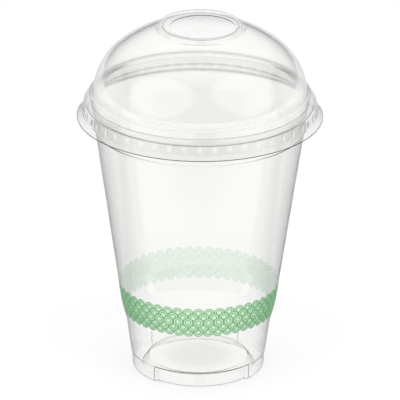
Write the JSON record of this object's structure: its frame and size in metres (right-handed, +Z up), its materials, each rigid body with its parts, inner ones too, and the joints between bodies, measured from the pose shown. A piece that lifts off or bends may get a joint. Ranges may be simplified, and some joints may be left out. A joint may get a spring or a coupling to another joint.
{
  "type": "plastic cup with lid",
  "caption": "Clear tapered cold-drink cup with a green scalloped printed band, closed by a domed press-on lid with a round straw hole.",
  "frame": {"origin": "centre of the foot, on the surface the cup stands on", "axes": "+Z up along the cup's axis towards the lid; the straw hole sits slightly towards +X"},
  "size_m": [0.102, 0.102, 0.1523],
  "materials": {
    "clear_cup_sheet": "clear thermoformed PET, glossy",
    "clear_lid_sheet": "clear thermoformed PET, glossy",
    "green_ink": "printed ink, a net of green circles"
  },
  "bodies": {
    "cup_body": {"cup": "clear_cup_sheet", "printed_band": "green_ink"},
    "lid_body": {"dome_lid": "clear_lid_sheet"}
  },
  "joints": [
    {"name": "lid_lift", "type": "slide", "parent": "cup_body", "child": "lid_body", "axis": [0, 0, 1], "range_m": [0, 0.06]}
  ]
}
